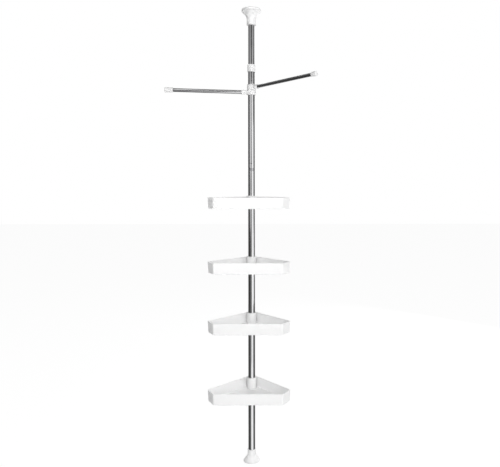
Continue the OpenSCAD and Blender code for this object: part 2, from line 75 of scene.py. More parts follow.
# Sides of a turned form: small ones, and the cups, pads and tubes
ROUND_STEPS = 96
FINE_STEPS = 128

# ---------- sizes, as the solids have them ----------

POLE_R = 12.7 * MM
POLE_WALL = 0.5 * MM
INNER_TUBE_R = 12 * MM
RUN_GAP = 0.05 * MM
BUTTON_HOLE_R = 2.6 * MM
TUBES = {"lower_tube": POLE_R, "middle_tube": POLE_R, "inner_tube": INNER_TUBE_R, "upper_tube": POLE_R}

# Cups: (radius, height) of rim and neck, and the handles that ease the curve between them
FOOT_RIM = (28 * MM, 0)
FOOT_RIM_HANDLE = (-2.8 * MM, 3 * MM)
FOOT_NECK_HANDLE = (0, -9.5 * MM)
FOOT_NECK = (15.5 * MM, 21 * MM)
FOOT_SKIN = 2.4 * MM
FOOT_FLOOR = 3 * MM
FOOT_LIP = 1.4 * MM
# Ring on the foot's pad: inner and outer radius, and height
FOOT_PAD_RING = (21 * MM, 23 * MM, 2.2 * MM)
FOOT_PAD_R = 31.2 * MM
FOOT_PAD_LEAN = 2.4 * MM
HEAD_RIM = (34.5 * MM, 0)
HEAD_RIM_HANDLE = (-5.5 * MM, -3 * MM)
HEAD_NECK_HANDLE = (1.5 * MM, 10 * MM)
HEAD_NECK = (17.2 * MM, -24 * MM)
HEAD_PLATE = 3 * MM
HEAD_BORE_R = 14.4 * MM
# Stem inside the spring: radius and length
HEAD_STEM = (7.3 * MM, 20 * MM)
HEAD_PAD_R = 36.5 * MM
TRUMPET_STEPS = 40
# Inner radii of the grip grooves in both pads
PAD_GROOVES = (12 * MM, 18 * MM, 24 * MM)
PAD_GROOVE_W = 2 * MM
PAD_GROOVE_DEPTH = 1.2 * MM

SPRING_TURNS = 8
SPRING_R = 8.8 * MM
SPRING_WIRE_R = 1 * MM

LOCK_R = 15 * MM
LOCK_FLUTES = 18
FLUTE_DEPTH = 0.4 * MM
COLLET_R = 13.75 * MM
COLLET_TIP_R = 13.05 * MM
COLLAR_MOUTH_R = 12.3 * MM
FINGER_FOOT = 11.3 * MM
FINGER_TOP = 21.8 * MM
FINGER_GAP = 0.3 * MM

HUB_RING_R = 16.5 * MM
HUB_SLEEVE_R = 14.35 * MM
SOCKET_REACH = 38 * MM
STUB = 17 * MM
LEFT_ANGLE = 10.4
LEFT_REACH = 321 * MM
LEFT_RING_H = 15.5 * MM
LEFT_BAR_R = 7 * MM
LEFT_SOCKET_R = 8.6 * MM
LEFT_CAP_R = 9.2 * MM
LEFT_CAP_LEN = 30 * MM
RIGHT_ANGLE = 47
RIGHT_REACH = 348 * MM
RIGHT_RING_H = 19 * MM
RIGHT_BAR_R = 6 * MM
RIGHT_SOCKET_R = 8.2 * MM
RIGHT_CAP_R = 8.25 * MM
RIGHT_CAP_LEN = 20 * MM
CAP_FLOOR = 3 * MM

TRAY_W = 300 * MM
FRONT_W = 246 * MM
FRONT_REACH = 155 * MM
BACK_REACH = 27 * MM
BACK_CORNER_Y = BACK_REACH * math.sqrt(2)
TRAY_CORNER_R = 9 * MM
TRAY_CORNER_STEPS = 10
TRAY_H = 40 * MM
TRAY_WALL = 2.6 * MM
TRAY_FLOOR = 2.6 * MM
TRAY_DRAFT = 2.4 * MM
BEAD_H = 3 * MM
BEAD_W = 1 * MM
SLEEVE_R = 18 * MM
SLEEVE_TOP = 43.5 * MM
CLIP_FOOT_R = 15.95 * MM
CLIP_TOP_R = 14.15 * MM
WEB_T = 2.4 * MM
WEB_TOP = 34 * MM
# Drain slots: rows from the front backwards on both sides, and the room left at their outer ends
SLOT_W = 3.6 * MM
SLOT_PITCH = 17 * MM
SLOT_COUNT = 5
SLOT_FIRST = 34 * MM
SLOT_INNER_X = 20 * MM
SLOT_SIDE_GAP = 18 * MM
SLOT_BACK_GAP = 44 * MM
TRAYS = ("tray_1", "tray_2", "tray_3", "tray_4")

# ---------- looks ----------

ALONG_Z = (1, 1, 0.002)
EVERY_WAY = (1, 1, 1)

# Colour and roughness of each plastic, and how much light shines through the trays'
PLASTICS = {
    "tray_plastic": ((0.95, 0.95, 0.95), 0.34, 0.45),
    "white_plastic": ((0.87, 0.87, 0.87), 0.34),
    "fitting_plastic": ((0.80, 0.80, 0.80), 0.33),
    "clip_plastic": ((0.80, 0.80, 0.79), 0.42),
    "inner_plastic": ((0.82, 0.82, 0.80), 0.45),
    "button_black": ((0.012, 0.012, 0.013), 0.35),
}
# Colour and roughness of each steel, and the way that its polishing marks run
STEELS = {
    "pole_steel": ((0.88, 0.88, 0.89), 0.10, ALONG_Z),
    "arm_steel": ((0.74, 0.74, 0.75), 0.16, EVERY_WAY),
    "joint_steel": ((0.60, 0.60, 0.62), 0.20, EVERY_WAY),
    "spring_steel": ((0.42, 0.42, 0.44), 0.32, EVERY_WAY),
}
RUBBERS = {"soft_pad": (0.84, 0.84, 0.84)}
# The small white fittings of the pole are a shade deeper than the cups at its two ends
FITTINGS = (
    "neck_bush", "lock_collet", "lock_collar", "hub_sleeve", "hub_cap", "left_arm_socket", "left_bar_cap",
    "right_arm_socket", "right_bar_cap",
)

# ---------- camera, lamps and flags ----------

# Camera: level, to the right of the pole, with the picture shifted so that uprights stay upright
CAMERA_PLACE = (0.167, -1.976, 1.045)
CAMERA_LENS = 37.44
CAMERA_SHIFT = (-0.0909, -0.097)
CAMERA_ROLL = 0.0012

# Lamps: place, target, size, watts and the angle over which the light spreads
LAMPS = {
    "key": ((2.9, -1.35, 1.0), (0, 0, 0.9), (1.0, 1.6), 13.4, 180),
    "top": ((0.5, -4.2, 3.9), (0, 0, 0.7), (3.0, 3.0), 127, 180),
    "front": ((0.8, -2.6, 0.95), (0, 0, 0.1), (1.2, 0.8), 10.5, 180),
    "low": ((-0.35, -1.0, 0.15), (0, 0, 1.62), (0.5, 0.5), 0.45, 50),
    "foot": ((-0.8, -0.9, 0.3), (0, 0, 0.02), (0.3, 0.2), 0.035, 20),
    "back": ((1.5, 1.8, 0.9), (0, 0, 0.55), (1.2, 1.2), 34, 180),
}
# Flags are stage cards that the steel mirrors as its dark and grey bands. Their angles run in degrees
# round the pole from -Y, positive to the right.
# Upright flags: angles, heights and shade
FLAG_RADIUS = 2.6
UPRIGHT_FLAGS = (
    ((-152, -60), (0, 0.65), 0.04),
    ((-152, -54), (0.65, 1.92), 0.04),
    ((-152, -70), (1.92, 3.6), 0.15),
    ((-60, -22), (0, 0.65), 0.06),
    ((-54, -30), (0.65, 1.15), 0.46),
    ((-54, -30), (1.15, 1.92), 0.80),
    ((-70, -30), (1.92, 3.6), 0.26),
    ((-22, -7), (0, 0.65), 0.34),
    ((-30, -7), (0.65, 1.15), 0.40),
    ((-30, -7), (1.15, 1.92), 0.50),
    ((-30, -2), (1.92, 2.25), 0.42),
    ((-30, -2), (2.25, 3.6), 0.27),
    ((-7, 11), (0, 1.92), 0.04),
    ((28, 70), (1.92, 2.25), 0.48),
    ((28, 70), (2.25, 3.6), 0.38),
    ((54, 82), (0.65, 1.60), 0.76),
    ((52, 82), (1.60, 1.92), 0.36),
    ((86, 152), (0, 0.65), 0.05),
    ((82, 152), (0.65, 1.92), 0.05),
    ((70, 152), (1.92, 2.15), 0.10),
    ((70, 152), (2.15, 3.6), 0.20),
    ((172, 190), (0, 3.6), 0.22),
)
# Flags that lie on the floor: angles, radii and shade
FLOOR_FLAG_Z = 0.5 * MM
FLOOR_FLAGS = (
    ((-160, -66), (0.04, 2.6), 0.05),
    ((-66, -20), (0.04, 2.6), 0.10),
    ((-20, -2), (0.04, 1.1), 0.62),
    ((-20, 12), (1.1, 2.0), 0.52),
    ((-20, 16), (2.0, 2.6), 0.20),
    ((50, 82), (0.04, 2.6), 0.30),
    ((82, 160), (0.04, 2.6), 0.07),
    ((160, 200), (0.3, 2.6), 0.12),
)
# Flags overhead: angles, radii and shade. The bars mirror the gap between them as a bright line
CANOPY_Z = 3.6
CANOPY_FLAGS = (
    ((26, 334), (0.01, 2.6), 0.08),
    ((-26, 26), (0.01, 1.1), 0.20),
    ((-26, 26), (2.3, 2.6), 0.08),
)
# One dark flag nearer the pole, which the steel above the arm hub mirrors
MAST_RADIUS = 0.8
MAST_ANGLES = (-2, 28)
MAST_HEIGHTS = (1.58, 2.0)
MAST_SHADE = 0.03
# Degrees that one straight piece of a flag covers
FLAG_STEP = 5


# ---------- materials ----------

def new_material(name):
    """A material, its node tree and its Principled shader."""
    mat = bpy.data.materials.new(name)
    mat.use_nodes = True
    return mat, mat.node_tree, mat.node_tree.nodes["Principled BSDF"]


def noise(tree, scale, detail, stretch=EVERY_WAY):
    """Noise from 0 to 1 in the object's own metres."""
    coords = tree.nodes.new("ShaderNodeTexCoord")
    mapping = tree.nodes.new("ShaderNodeMapping")
    mapping.inputs["Scale"].default_value = stretch
    texture = tree.nodes.new("ShaderNodeTexNoise")
    texture.inputs["Scale"].default_value = scale
    texture.inputs["Detail"].default_value = detail
    tree.links.new(coords.outputs["Object"], mapping.inputs["Vector"])
    tree.links.new(mapping.outputs["Vector"], texture.inputs["Vector"])
    return texture.outputs["Fac"]


def stretched(tree, value, source, target):
    """Stretches the range source of a value over the range target."""
    node = tree.nodes.new("ShaderNodeMapRange")
    for socket, number in zip(("From Min", "From Max", "To Min", "To Max"), (*source, *target)):
        node.inputs[socket].default_value = number
    tree.links.new(value, node.inputs["Value"])
    return node.outputs["Result"]


def drift(tree, scale, detail, low=0, high=1):
    """Noise whose busy middle is stretched over low to high."""
    middle = (0.3, 0.7)
    return stretched(tree, noise(tree, scale, detail), middle, (low, high))


def surface(name, colour, depth, tone, rough, gloss, grain, relief):
    """Material with slow drifts of tone and gloss and a fine skin. Returns it and its shader.

    tone, gloss and grain are the scale and detail of noises. The tone takes the colour down to its share
    depth, the gloss takes the roughness over rough, and relief is the strength and height of the grain.
    """
    mat, tree, shader = new_material(name)
    colours = tree.nodes.new("ShaderNodeMix")
    colours.data_type = "RGBA"
    colours.inputs["A"].default_value = (*(c * depth for c in colour), 1)
    colours.inputs["B"].default_value = (*colour, 1)
    tree.links.new(drift(tree, *tone), colours.inputs["Factor"])
    skin = tree.nodes.new("ShaderNodeBump")
    skin.inputs["Strength"].default_value, skin.inputs["Distance"].default_value = relief
    tree.links.new(noise(tree, *grain), skin.inputs["Height"])
    tree.links.new(colours.outputs["Result"], shader.inputs["Base Color"])
    tree.links.new(drift(tree, *gloss, *rough), shader.inputs["Roughness"])
    tree.links.new(skin.outputs["Normal"], shader.inputs["Normal"])
    return mat, shader


def moulded_plastic(name, colour, rough, glow=0.0):
    """Injection-moulded plastic with fine mould grain. glow is its translucency."""
    mat, shader = surface(
        name, colour, depth=0.975, tone=(14, 3), rough=(rough * 0.85, rough * 1.2), gloss=(60, 4),
        grain=(2600, 2), relief=(0.12, 0.05 * MM)
    )
    shader.inputs["IOR"].default_value = 1.49
    shader.inputs["Subsurface Weight"].default_value = glow
    shader.inputs["Subsurface Radius"].default_value = (1, 1, 1)
    shader.inputs["Subsurface Scale"].default_value = 6 * MM
    return mat


def polished_steel(name, colour, rough, stretch):
    """Polished steel with hairlines, and faint water marks that dull and darken it."""
    mat, shader = surface(
        name, colour, depth=0.94, tone=(35, 4), rough=(rough * 0.8, rough * 1.25), gloss=(35, 4),
        grain=(1800, 2, stretch), relief=(0.02, 0.01 * MM)
    )
    shader.inputs["Metallic"].default_value = 1.0
    return mat


def soft_rubber(name, colour):
    """Matt soft plastic with a fine sandy skin."""
    mat, _ = surface(
        name, colour, depth=0.95, tone=(40, 3), rough=(0.5, 0.68), gloss=(90, 4), grain=(3200, 2),
        relief=(0.3, 0.08 * MM)
    )
    return mat


MATERIALS = {
    **{name: moulded_plastic(name, *look) for name, look in PLASTICS.items()},
    **{name: polished_steel(name, *look) for name, look in STEELS.items()},
    **{name: soft_rubber(name, colour) for name, colour in RUBBERS.items()},
}
SLOTS = {part["node"]: part["material_slot"] for part in frame["record"]["subparts"]}
BODIES = {
    node: body for body, nodes in frame["record"]["behaviour"]["bodies"].items() for node in nodes
}


def material_of(node):
    return MATERIALS["fitting_plastic" if node in FITTINGS else SLOTS[node]]


def smooth(mesh, angle=32):
    """Smooth shading that breaks at edges sharper than angle."""
    for face in mesh.polygons:
        face.use_smooth = True
    mesh.set_sharp_from_angle(angle=math.radians(angle))


def dress_cad_nodes():
    """Gives every solid of the frame the material of its slot."""
    for name, node in frame["nodes"].items():
        node.data.materials.clear()
        node.data.materials.append(material_of(name))
        smooth(node.data)


def new_object(name, bm):
    """Object with a mesh made from bm, which is freed."""
    mesh = bpy.data.meshes.new(name)
    bm.to_mesh(mesh)
    bm.free()
    obj = bpy.data.objects.new(name, mesh)
    bpy.context.scene.collection.objects.link(obj)
    return obj


def piece(name, bm, node, place=(0, 0, 0), turn=(0, 0, 0)):
    """Makes a closed mesh the shown form of a solid: on its body, in its material slot."""
    bmesh.ops.recalc_face_normals(bm, faces=bm.faces)
    obj = new_object(name, bm)
    obj.data.materials.append(material_of(node))
    smooth(obj.data)
    obj.location = place
    obj.rotation_euler = turn
    flat_faces = obj.modifiers.new("flat_faces", "WEIGHTED_NORMAL")
    flat_faces.keep_sharp = True
    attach(obj, BODIES[node])
    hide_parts(node)
    return obj


# ---------- shapes ----------

def arc(x, y, radius, start, end, steps=6):
    """Points of an arc from angle start to angle end, in degrees."""
    angles = [math.radians(start + (end - start) * i / steps) for i in range(steps + 1)]
    return [(x + radius * math.cos(a), y + radius * math.sin(a)) for a in angles]


def circle(x, y, radius, steps):
    """Points of a whole circle."""
    return arc(x, y, radius, 0, 360 - 360 / steps, steps - 1)


def ring(bm, points, z):
    return [bm.verts.new((x, y, z)) for x, y in points]


def bridge(bm, lower, upper):
    """Faces between two rings of as many points, or between a ring and a single point."""
    count = max(len(lower), len(upper))
    for i in range(count if count > 1 else 0):
        n = (i + 1) % count
        below = [lower[i % len(lower)], lower[n % len(lower)]]
        above = [upper[n % len(upper)], upper[i % len(upper)]]
        bm.faces.new(list(dict.fromkeys(below + above)))


def lathe(profile, steps=ROUND_STEPS):
    """Closed solid turned from a closed profile of (radius, height) points."""
    bm = bmesh.new()
    rings = []
    for radius, z in profile:
        on_axis = radius < TOUCH
        rings.append(ring(bm, [(0, 0)] if on_axis else circle(0, 0, radius, steps), z))
    for lower, upper in zip(rings, rings[1:] + rings[:1]):
        bridge(bm, lower, upper)
    return bm


def rod(radius, foot, top, steps):
    """Plain round rod along Z, only for cutting."""
    return lathe([(0, foot), (radius, foot), (radius, top), (0, top)], steps)


def laid_along_x(bm, start=0.0):
    """Turns a lathed mesh from +Z to +X, with its foot at start."""
    bmesh.ops.rotate(bm, verts=bm.verts, matrix=Matrix.Rotation(math.pi / 2, 3, "Y"))
    bmesh.ops.translate(bm, verts=bm.verts, vec=(start, 0, 0))
    return bm


def raised(bm, rise):
    """Moves a mesh up."""
    bmesh.ops.translate(bm, verts=bm.verts, vec=(0, 0, rise))
    return bm


def inside(point, loop):
    """True if a point lies inside a closed loop."""
    x, y = point
    crossings = 0
    for (x1, y1), (x2, y2) in zip(loop, loop[1:] + loop[:1]):
        if (y1 > y) != (y2 > y) and x < x1 + (x2 - x1) * (y - y1) / (y2 - y1):
            crossings += 1
    return crossings % 2 == 1


def fill(bm, outer, holes):
    """Flat faces between an outer ring and the rings of its holes."""
    loops = [outer, *holes]
    verts = [v for loop in loops for v in loop]
    edges = []
    for loop in loops:
        first = len(edges)
        edges += [(first + i, first + (i + 1) % len(loop)) for i in range(len(loop))]
    flat = [Vector((v.co.x, v.co.y)) for v in verts]
    fill_hull, same_point = 1, 1e-9
    _, _, triangles, sources, _, _ = delaunay_2d_cdt(flat, edges, [], fill_hull, same_point)
    outlines = [[(v.co.x, v.co.y) for v in loop] for loop in loops]
    for triangle in triangles:
        corners = [verts[sources[i][0]] for i in triangle]
        middle = sum((v.co.xy for v in corners), Vector((0, 0))) / 3
        if inside(middle, outlines[0]) and not any(inside(middle, hole) for hole in outlines[1:]):
            bm.faces.new(corners)


def rounded_copy(node, width, segments=2, outside=0.0):
    """Copy of a solid with its sharp edges rounded, where they lie beyond outside from the pole's axis."""
    one_face, sharp_edge = math.radians(0.3), math.radians(30)
    bm = bmesh.new()
    bm.from_mesh(frame["nodes"][node].data)
    bmesh.ops.remove_doubles(bm, verts=bm.verts, dist=TOUCH)
    bmesh.ops.dissolve_limit(bm, angle_limit=one_face, verts=bm.verts, edges=bm.edges)
    sharp = [
        e for e in bm.edges
        if e.is_manifold and e.calc_face_angle() > sharp_edge
        and min(v.co.xy.length for v in e.verts) >= outside
    ]
    bmesh.ops.bevel(bm, geom=sharp, offset=width, segments=segments, profile=0.5, affect="EDGES",
                    clamp_overlap=True)
    bmesh.ops.dissolve_degenerate(bm, dist=SLIVER, edges=bm.edges)
    bmesh.ops.triangulate(bm, faces=[face for face in bm.faces if len(face.verts) > 4])
    return bm


def loose_object(name, bm):
    """Object for a modifier to work on. It is removed again once its result is read."""
    bmesh.ops.recalc_face_normals(bm, faces=bm.faces)
    return new_object(name, bm)


def read_result(obj, *others):
    """Mesh of an object after its modifiers. The object and its helpers are removed."""
    depsgraph = bpy.context.evaluated_depsgraph_get()
    result = bmesh.new()
    result.from_mesh(obj.evaluated_get(depsgraph).to_mesh())
    for used in (obj, *others):
        bpy.data.objects.remove(used)
    bmesh.ops.dissolve_degenerate(result, dist=SLIVER, edges=result.edges)
    return result


def combined(bm, other, operation="UNION"):
    """Boolean of two closed meshes."""
    whole, tool = loose_object("whole", bm), loose_object("tool", other)
    boolean = whole.modifiers.new("boolean", "BOOLEAN")
    boolean.operation = operation
    boolean.solver = "EXACT"
    boolean.object = tool
    return read_result(whole, tool)


def melted(bm, voxel, rounds):
    """Closed mesh with its inner and outer corners softened, as a mould fillets them."""
    obj = loose_object("melted", bm)
    remesh = obj.modifiers.new("remesh", "REMESH")
    remesh.mode = "VOXEL"
    remesh.voxel_size = voxel
    soften = obj.modifiers.new("soften", "SMOOTH")
    soften.factor = 0.5
    soften.iterations = rounds
    return read_result(obj)


# ---------- trays ----------

def tray_corners():
    """Centre, radius, first angle and turn in degrees of the round at each corner of a tray."""
    side_y = BACK_CORNER_Y - TRAY_W / 2
    points = [
        Vector((-FRONT_W / 2, -FRONT_REACH)), Vector((FRONT_W / 2, -FRONT_REACH)),
        Vector((TRAY_W / 2, side_y)), Vector((0, BACK_CORNER_Y)), Vector((-TRAY_W / 2, side_y)),
    ]
    radii = [TRAY_CORNER_R, TRAY_CORNER_R, TRAY_CORNER_R, BACK_REACH, TRAY_CORNER_R]
    rounds = []
    for i, (point, radius) in enumerate(zip(points, radii)):
        to_last = (points[i - 1] - point).normalized()
        to_next = (points[(i + 1) % len(points)] - point).normalized()
        half = to_last.angle(to_next) / 2
        centre = point + (to_last + to_next).normalized() * radius / math.sin(half)
        first = math.degrees(math.atan2(-to_last.y, -to_last.x)) - 90
        rounds.append((centre, radius, first, 180 - 2 * math.degrees(half)))
    return rounds


def tray_outline(inset):
    """A tray's outline, taken in by inset."""
    return [
        point
        for centre, radius, first, turn in tray_corners()
        for point in arc(centre.x, centre.y, radius - inset, first, first + turn, TRAY_CORNER_STEPS)
    ]


def outer_inset(z):
    """How far the leaning wall stands in at height z."""
    return TRAY_DRAFT * (1 - z / TRAY_H)


def tray_wall_profile():
    """(inset, height) points from the underside, over the rim and down to the floor."""
    foot_round = 2.2 * MM
    rim_round = 1.25 * MM
    floor_round = 1.6 * MM
    bead_blend = 0.9 * MM
    bead_runout = 1.2 * MM
    bead_inset = TRAY_WALL + BEAD_W
    bead_foot = TRAY_H - BEAD_H
    foot_x = outer_inset(foot_round) + foot_round
    floor_x = TRAY_WALL + outer_inset(TRAY_FLOOR + floor_round)
    outside = (TRAY_H * 0.35, TRAY_H * 0.65, TRAY_H - 2 * rim_round)
    inner_side = (bead_foot - bead_runout, TRAY_H * 0.6, TRAY_H * 0.3)
    profile = arc(foot_x, foot_round, foot_round, 270, 180)
    profile += [(outer_inset(z), z) for z in outside]
    profile += arc(rim_round, TRAY_H - rim_round, rim_round, 180, 90)
    profile += arc(bead_inset - rim_round, TRAY_H - rim_round, rim_round, 90, 0)
    profile += arc(bead_inset - BEAD_W, bead_foot + bead_blend, BEAD_W, 0, -60, 4)
    profile += [(TRAY_WALL + outer_inset(z), z) for z in inner_side]
    profile += arc(floor_x + floor_round, TRAY_FLOOR + floor_round, floor_round, 180, 270)
    return profile


def sleeve_profile():
    """(radius, height) points from the floor, up over the sleeve's lip and down its tapered bore."""
    root = 1.6 * MM
    lip = 0.8 * MM
    foot_edge = 0.6 * MM
    bore_top = CLIP_TOP_R + RUN_GAP
    bore_foot = CLIP_FOOT_R + RUN_GAP
    profile = arc(SLEEVE_R + root, TRAY_FLOOR + root, root, 270, 180)
    profile += arc(SLEEVE_R - lip, SLEEVE_TOP - lip, lip, 0, 90)
    profile += arc(bore_top + lip, SLEEVE_TOP - lip, lip, 90, 180)
    profile += arc(bore_foot + foot_edge, foot_edge, foot_edge, 180, 270)
    return profile


def slot_loop(length, grow):
    """Outline of a slot with round ends, made wider by grow."""
    radius = SLOT_W / 2 + grow
    return arc(length / 2, 0, radius, -90, 90, 8) + arc(-length / 2, 0, radius, 90, 270, 8)


def slot_places():
    """Centre and length of each drain slot."""
    for i in range(SLOT_COUNT):
        y = SLOT_FIRST - FRONT_REACH + i * SLOT_PITCH
        outer_x = min(FRONT_W / 2 - SLOT_SIDE_GAP, BACK_CORNER_Y - y - SLOT_BACK_GAP)
        for side in (-1, 1):
            yield side * (SLOT_INNER_X + outer_x) / 2, y, outer_x - SLOT_INNER_X


def cut_slots(bm):
    """Walls of the drain slots, with eased edges. Returns their rings on the floor and on the underside."""
    ease = 0.5 * MM
    turn_in = 0.3 * ease
    steps = [(ease, TRAY_FLOOR), (turn_in, TRAY_FLOOR - turn_in), (0, TRAY_FLOOR - ease),
             (0, ease), (turn_in, turn_in), (ease, 0)]
    tops, feet = [], []
    for x, y, length in slot_places():
        rings = [ring(bm, [(x + u, y + v) for u, v in slot_loop(length, grow)], z) for grow, z in steps]
        for upper, lower in zip(rings, rings[1:]):
            bridge(bm, upper, lower)
        tops.append(rings[0])
        feet.append(rings[-1])
    return tops, feet


def tray_shell():
    """Tray with rounded rim and corners, a drained floor and the sleeve that wedges on its clip."""
    bm = bmesh.new()
    wall = [ring(bm, tray_outline(inset), z) for inset, z in tray_wall_profile()]
    sleeve = [ring(bm, circle(0, 0, radius, ROUND_STEPS), z) for radius, z in sleeve_profile()]
    for rings in (wall, sleeve):
        for lower, upper in zip(rings, rings[1:]):
            bridge(bm, lower, upper)
    tops, feet = cut_slots(bm)
    fill(bm, wall[-1], [sleeve[0], *tops])
    fill(bm, wall[0], [sleeve[-1], *feet])
    return bm


def tray_web():
    """Rib that ties the sleeve to the corner of the back walls, let into both of them and the floor."""
    into_floor, into_sleeve, into_wall = 1 * MM, 1.2 * MM, 0.6 * MM
    half = WEB_T / 2
    crown = 0.9 * MM
    crown_z = WEB_TOP - crown
    foot_z = TRAY_FLOOR - into_floor
    section = [(-half, foot_z), (half, foot_z)]
    section += arc(half - crown, crown_z, crown, 0, 90, 4) + arc(crown - half, crown_z, crown, 90, 180, 4)
    bm = bmesh.new()
    ends = [
        [bm.verts.new((x, y, z)) for x, z in section]
        for y in (SLEEVE_R - into_sleeve, BACK_REACH - TRAY_WALL + into_wall)
    ]
    bridge(bm, *ends)
    for end in ends:
        bm.faces.new(end)
    return bm


def trays():
    """Four trays off one mould, each at its solid's height.

    No reflection shows them, so that the steel's bands run clean down to each sleeve, as in the photo.
    """
    mould = combined(tray_shell(), tray_web())
    for node in TRAYS:
        tray = piece("moulded_" + node, mould.copy(), node, (0, 0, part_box(node)[0].z))
        tray.visible_glossy = False
    mould.free()


# ---------- foot and head ----------

def trumpet(rim, rim_handle, neck_handle, neck):
    """Cubic curve from a rim to a neck, eased by one handle at each end."""
    a, d = Vector(rim), Vector(neck)
    b, c = a + Vector(rim_handle), d + Vector(neck_handle)
    curve = []
    for i in range(TRUMPET_STEPS + 1):
        t = i / TRUMPET_STEPS
        u = 1 - t
        curve.append(tuple(u ** 3 * a + 3 * u ** 2 * t * b + 3 * u * t * t * c + t ** 3 * d))
    return curve


def grooves(face, depth):
    """Grip grooves in the flat face of a pad, from the middle outwards."""
    points = []
    for radius in PAD_GROOVES:
        outer = radius + PAD_GROOVE_W
        points += [(radius, face), (radius, face + depth), (outer, face + depth), (outer, face)]
    return points


def foot_cup():
    """Floor cup with its hollow flare."""
    lo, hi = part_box("floor_cup")
    height = hi.z - lo.z
    neck_r = FOOT_NECK[0]
    short_of_neck = 2 * MM
    curve = trumpet(FOOT_RIM, FOOT_RIM_HANDLE, FOOT_NECK_HANDLE, FOOT_NECK)
    hollow = [(r - FOOT_SKIN, z) for r, z in curve if r > neck_r + FOOT_SKIN + short_of_neck]
    profile = [(0, 0), (neck_r, 0), (neck_r, hollow[-1][1])] + hollow[::-1] + curve
    profile += arc(neck_r - FOOT_LIP, height - FOOT_LIP, FOOT_LIP, 0, 90, 8)
    profile += [(POLE_R + RUN_GAP, height), (POLE_R + RUN_GAP, FOOT_FLOOR), (0, FOOT_FLOOR)]
    piece("flared_foot", lathe(profile, FINE_STEPS), "floor_cup", (0, 0, lo.z))


def foot_pad():
    """Leaning soft pad under the floor cup, with the ring that stands up into the cup's hollow."""
    foot_edge, top_edge = 0.8 * MM, 1.6 * MM
    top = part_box("floor_cup")[0].z
    inner, outer, rise = FOOT_PAD_RING
    profile = [(0, 0)] + grooves(0, PAD_GROOVE_DEPTH)
    profile += arc(FOOT_PAD_R - foot_edge, foot_edge, foot_edge, -90, 0, 6)
    profile += arc(FOOT_PAD_R - FOOT_PAD_LEAN - top_edge, top - top_edge, top_edge, 0, 90, 8)
    profile += [(outer, top), (outer, top + rise), (inner, top + rise), (inner, top), (0, top)]
    piece("soft_foot_pad", lathe(profile, FINE_STEPS), "floor_pad")


def head_cup():
    """Ceiling cup with the stem that its spring sits round."""
    base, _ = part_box("ceiling_pad")
    cup_foot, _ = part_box("ceiling_cup")
    neck_r, stem_r, stem_h = HEAD_NECK[0], *HEAD_STEM
    mouth_z = cup_foot.z - base.z
    profile = [(0, 0)] + trumpet(HEAD_RIM, HEAD_RIM_HANDLE, HEAD_NECK_HANDLE, HEAD_NECK)
    profile += [(neck_r, mouth_z), (HEAD_BORE_R, mouth_z), (HEAD_BORE_R, -HEAD_PLATE)]
    profile += [(stem_r, -HEAD_PLATE), (stem_r, -HEAD_PLATE - stem_h), (0, -HEAD_PLATE - stem_h)]
    piece("flared_head", lathe(profile, FINE_STEPS), "ceiling_cup", (0, 0, base.z))


def head_pad():
    """Round-edged soft pad on the ceiling cup."""
    base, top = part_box("ceiling_pad")
    height = top.z - base.z
    foot_edge, top_edge = 4 * MM, 4.5 * MM
    profile = [(0, 0)] + arc(HEAD_PAD_R - foot_edge, foot_edge, foot_edge, -90, 0, 10)
    profile += arc(HEAD_PAD_R - top_edge, height - top_edge, top_edge, 0, 90, 10)
    profile += grooves(height, -PAD_GROOVE_DEPTH)[::-1] + [(0, height)]
    piece("soft_head_pad", lathe(profile, FINE_STEPS), "ceiling_pad", (0, 0, base.z))


# ---------- springs ----------

def coil(steps=40, sides=14, even=0.35):
    """Round wire wound along a helix with its end turns closed up. even is the share of plain, even rise."""
    lo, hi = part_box("tension_spring")
    height = hi.z - lo.z - 2 * SPRING_WIRE_R
    bm = bmesh.new()
    rings = []
    for i in range(SPRING_TURNS * steps + 1):
        share = i / (SPRING_TURNS * steps)
        eased = 2 * share * share if share < 0.5 else 1 - 2 * (1 - share) ** 2
        rise = lo.z + SPRING_WIRE_R + height * (even * share + (1 - even) * eased)
        turn = math.tau * i / steps
        section = circle(SPRING_R, rise, SPRING_WIRE_R, sides)
        rings.append([bm.verts.new((r * math.cos(turn), r * math.sin(turn), z)) for r, z in section])
    for lower, upper in zip(rings, rings[1:]):
        bridge(bm, lower, upper)
    bm.faces.new(rings[0])
    bm.faces.new(rings[-1])
    return bm


def springs():
    """Both springs, the wound coil and the bent leaf, each with a mesh of its own."""
    spring = piece("wound_spring", coil(), "tension_spring")
    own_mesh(spring)
    leaf = piece("bent_leaf", rounded_copy("button_spring", 0.1 * MM), "button_spring")
    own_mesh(leaf)


# ---------- pole ----------

def tube_profile(outer, height):
    """Tube whose ends are rolled in a little, so that each joint shows a fine dark line."""
    roll = 0.35 * MM
    inner = outer - POLE_WALL
    profile = [(inner, 0)] + arc(outer - roll, roll, roll, -90, 0, 4)
    return profile + arc(outer - roll, height - roll, roll, 0, 90, 4) + [(inner, height)]


def button_hole(base):
    """Cutter for the hole that the snap button stands in, in a tube with its foot at base."""
    lo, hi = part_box("snap_button")
    hole = rod(BUTTON_HOLE_R, 0, POLE_R * 1.5, steps=48)
    bmesh.ops.rotate(hole, verts=hole.verts, matrix=Matrix.Rotation(math.pi / 2, 3, "X"))
    return raised(hole, (lo.z + hi.z) / 2 - base)


def tubes():
    for node, outer in TUBES.items():
        lo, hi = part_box(node)
        bm = lathe(tube_profile(outer, hi.z - lo.z), FINE_STEPS)
        if node == "upper_tube":
            bm = combined(bm, button_hole(lo.z), "DIFFERENCE")
        piece("polished_" + node, bm, node, (0, 0, lo.z))


# ---------- lock ----------

